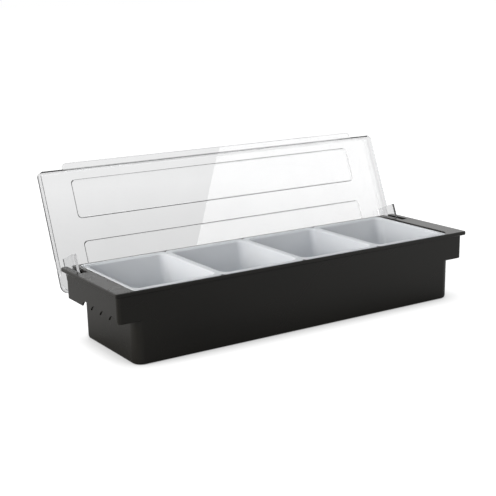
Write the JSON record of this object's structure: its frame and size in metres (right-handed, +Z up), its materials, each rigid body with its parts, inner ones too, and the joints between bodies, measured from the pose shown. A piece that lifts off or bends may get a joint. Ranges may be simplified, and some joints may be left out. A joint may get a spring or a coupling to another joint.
{
  "type": "bar condiment holder",
  "caption": "Long black bar caddy with lift-out trays in a row over an ice well, end grips with finger arches, and a clear lid hinged along the back.",
  "frame": {"origin": "middle of the base's underside", "axes": "+X along the row of trays to the right, +Y from the front to the hinged back, +Z up"},
  "size_m": [0.495, 0.2024, 0.195],
  "materials": {
    "black_plastic": "satin moulded",
    "clear_plastic": "clear polished",
    "white_plastic": "smooth moulded"
  },
  "bodies": {
    "base": {"base": "black_plastic"},
    "lid": {"lid": "clear_plastic"},
    "tray_1": {"tray_1": "white_plastic"},
    "tray_2": {"tray_2": "white_plastic"},
    "tray_3": {"tray_3": "white_plastic"},
    "tray_4": {"tray_4": "white_plastic"}
  },
  "joints": [
    {"name": "lid_hinge", "type": "hinge", "parent": "base", "child": "lid", "pos_m": [0, 0.0625, 0.0738], "axis": [-1, 0, 0], "range_deg": [-112, 0]},
    {"name": "tray_1_lift", "type": "slide", "parent": "base", "child": "tray_1", "axis": [0, 0, 1], "range_m": [0, 0.08]},
    {"name": "tray_2_lift", "type": "slide", "parent": "base", "child": "tray_2", "axis": [0, 0, 1], "range_m": [0, 0.08]},
    {"name": "tray_3_lift", "type": "slide", "parent": "base", "child": "tray_3", "axis": [0, 0, 1], "range_m": [0, 0.08]},
    {"name": "tray_4_lift", "type": "slide", "parent": "base", "child": "tray_4", "axis": [0, 0, 1], "range_m": [0, 0.08]}
  ]
}
